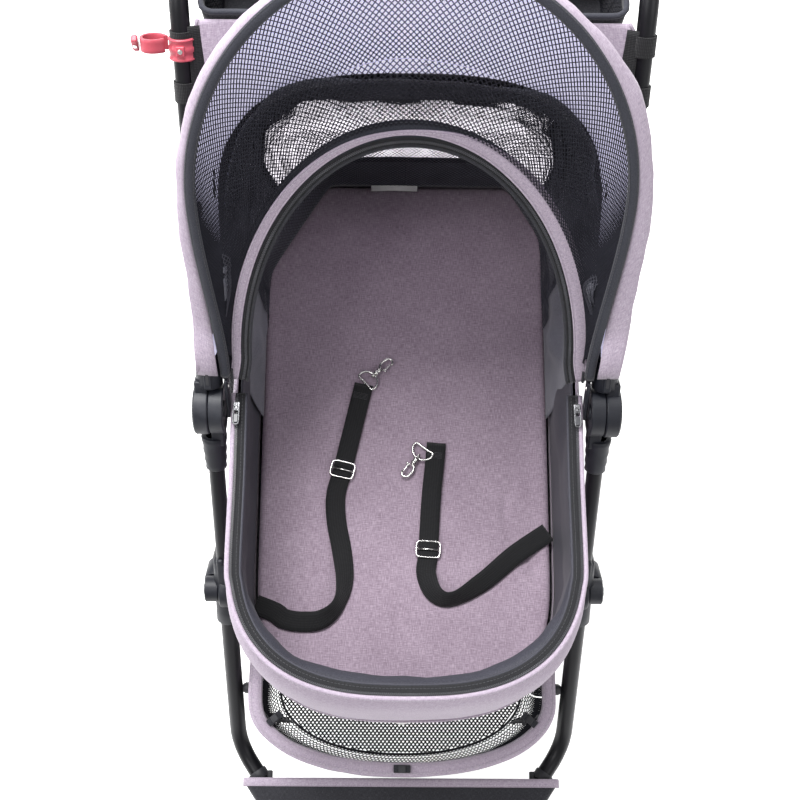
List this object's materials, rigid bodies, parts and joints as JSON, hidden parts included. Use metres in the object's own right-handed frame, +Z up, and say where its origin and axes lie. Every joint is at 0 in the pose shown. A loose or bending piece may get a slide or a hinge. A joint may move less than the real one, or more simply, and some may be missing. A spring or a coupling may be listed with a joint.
{
  "type": "pet stroller",
  "caption": "Folding three-wheel pet stroller: fabric cabin with zipped rim and floor pad, hood with mesh door, handle tray, basket below, on a steel tube frame.",
  "frame": {"origin": "on the ground below the middle of the stroller's length and width", "axes": "+Z up, the front (swivel wheel) faces -Y, the handle is at +Y, +X is to the right when looking from the front wheel's side over the stroller along +Y"},
  "size_m": [0.547, 1.1183, 1.1272],
  "materials": {
    "frame_tube": "satin",
    "hub_plastic": "matte",
    "lilac_cloth": "melange weave",
    "pad_cloth": "cross weave",
    "black_cloth": "matte weave",
    "black_mesh": "open mesh",
    "webbing": "ribbed webbing",
    "zip": "zip coil",
    "nickel": "polished",
    "rubber": "matte rubber",
    "rim_plastic": "satin",
    "foam": "soft foam",
    "axle_steel": "brushed",
    "board": "fibreboard",
    "clip_plastic": "gloss",
    "brake_plastic": "matte",
    "bow_wire": "satin"
  },
  "bodies": {
    "chassis": {"leg_tube_l": "frame_tube", "leg_tube_r": "frame_tube", "mid_tube_l": "frame_tube", "mid_tube_r": "frame_tube", "hub_lower_l": "hub_plastic", "hub_lower_r": "hub_plastic", "leg_bracket_l": "hub_plastic", "leg_bracket_r": "hub_plastic", "basket_spacer_l": "hub_plastic", "basket_spacer_r": "hub_plastic", "front_yoke": "hub_plastic", "front_apron": "black_cloth", "cabin_shell": "lilac_cloth", "floor_board": "board", "floor_pad": "pad_cloth", "rim_zip": "zip", "basket_shell": "black_mesh", "basket_rim": "lilac_cloth", "tether_strap_l": "webbing", "tether_strap_r": "webbing", "tether_slider_l": "nickel", "tether_slider_r": "nickel", "tether_ring_l": "nickel", "tether_ring_r": "nickel", "tether_hook_l": "nickel", "tether_hook_r": "nickel"},
    "handle": {"handle_tube": "frame_tube", "handle_grip": "foam", "hub_upper_l": "hub_plastic", "hub_upper_r": "hub_plastic", "organiser": "black_mesh", "clip_collar": "clip_plastic"},
    "rear_frame": {"rear_leg_l": "frame_tube", "rear_leg_r": "frame_tube", "rear_axle": "frame_tube"},
    "hood": {"hood_bow": "bow_wire", "bow_plate_l": "bow_wire", "bow_plate_r": "bow_wire", "hood_fabric": "lilac_cloth"},
    "door": {"door_bow": "lilac_cloth", "door_mesh": "black_mesh"},
    "clip_holder": {"clip_ring": "clip_plastic", "clip_tab": "clip_plastic"},
    "front_caster": {"front_fork": "hub_plastic", "front_axle": "axle_steel"},
    "front_wheel": {"front_wheel_rim": "rim_plastic", "front_wheel_tyre": "rubber"},
    "lock_lever": {"swivel_lock": "hub_plastic"},
    "brake": {"brake_bar": "brake_plastic"},
    "latch_l": {"fold_latch_l": "hub_plastic"},
    "latch_r": {"fold_latch_r": "hub_plastic"},
    "slider_l": {"zip_slider_l": "nickel"},
    "slider_r": {"zip_slider_r": "nickel"},
    "rear_wheel_l": {"rear_wheel_l_rim": "rim_plastic", "rear_wheel_l_tyre": "rubber"},
    "rear_wheel_r": {"rear_wheel_r_rim": "rim_plastic", "rear_wheel_r_tyre": "rubber"}
  },
  "joints": [
    {"name": "handle_fold", "type": "hinge", "parent": "chassis", "child": "handle", "pos_m": [0, 0.1258, 0.66], "axis": [-1, 0, 0], "range_deg": [-126, 0], "deforming": ["hood_fabric", "door_mesh"]},
    {"name": "rear_leg_fold", "type": "hinge", "parent": "chassis", "child": "rear_frame", "pos_m": [0, -0.04039, 0.44341], "axis": [1, 0, 0], "range_deg": [-75, 0]},
    {"name": "hood_tilt", "type": "hinge", "parent": "handle", "child": "hood", "pos_m": [0, 0.1258, 0.66], "axis": [1, 0, 0], "range_deg": [0, 45], "deforming": ["hood_fabric", "door_mesh"]},
    {"name": "door_close", "type": "hinge", "parent": "handle", "child": "door", "pos_m": [0, 0.1258, 0.66], "axis": [1, 0, 0], "range_deg": [0, 126], "deforming": ["door_mesh", "hood_fabric"]},
    {"name": "clip_swivel", "type": "hinge", "parent": "handle", "child": "clip_holder", "pos_m": [-0.2388, 0.3827, 0.9948], "axis": [1, 0, 0], "range_deg": [-60, 60]},
    {"name": "latch_l_slide", "type": "slide", "parent": "handle", "child": "latch_l", "axis": [0, 0.6088, 0.7934], "range_m": [0, 0.01], "stiffness_N_per_m": 300},
    {"name": "latch_r_slide", "type": "slide", "parent": "handle", "child": "latch_r", "axis": [0, 0.6088, 0.7934], "range_m": [0, 0.01], "stiffness_N_per_m": 300},
    {"name": "brake_press", "type": "hinge", "parent": "rear_frame", "child": "brake", "pos_m": [0, 0.4108, 0.12], "axis": [-1, 0, 0], "range_deg": [0, 16]},
    {"name": "rear_wheel_l_spin", "type": "hinge", "parent": "rear_frame", "child": "rear_wheel_l", "pos_m": [-0.255, 0.4108, 0.12], "axis": [1, 0, 0], "continuous": true},
    {"name": "rear_wheel_r_spin", "type": "hinge", "parent": "rear_frame", "child": "rear_wheel_r", "pos_m": [0.255, 0.4108, 0.12], "axis": [1, 0, 0], "continuous": true},
    {"name": "front_swivel", "type": "hinge", "parent": "chassis", "child": "front_caster", "pos_m": [0, -0.4992, 0.2015], "axis": [0, 0, 1], "continuous": true},
    {"name": "front_wheel_spin", "type": "hinge", "parent": "front_caster", "child": "front_wheel", "pos_m": [0, -0.4792, 0.08], "axis": [1, 0, 0], "continuous": true},
    {"name": "swivel_lock_flip", "type": "hinge", "parent": "chassis", "child": "lock_lever", "pos_m": [0, -0.5417, 0.2175], "axis": [-1, 0, 0], "range_deg": [0, 25]},
    {"name": "zip_l_slide", "type": "slide", "parent": "chassis", "child": "slider_l", "axis": [0, -1, 0], "range_m": [0, 0.14]},
    {"name": "zip_r_slide", "type": "slide", "parent": "chassis", "child": "slider_r", "axis": [0, -1, 0], "range_m": [0, 0.14]}
  ],
  "couplings": [
    {"joint": "rear_leg_fold", "follows": "handle_fold", "ratio": 0.58}
  ]
}
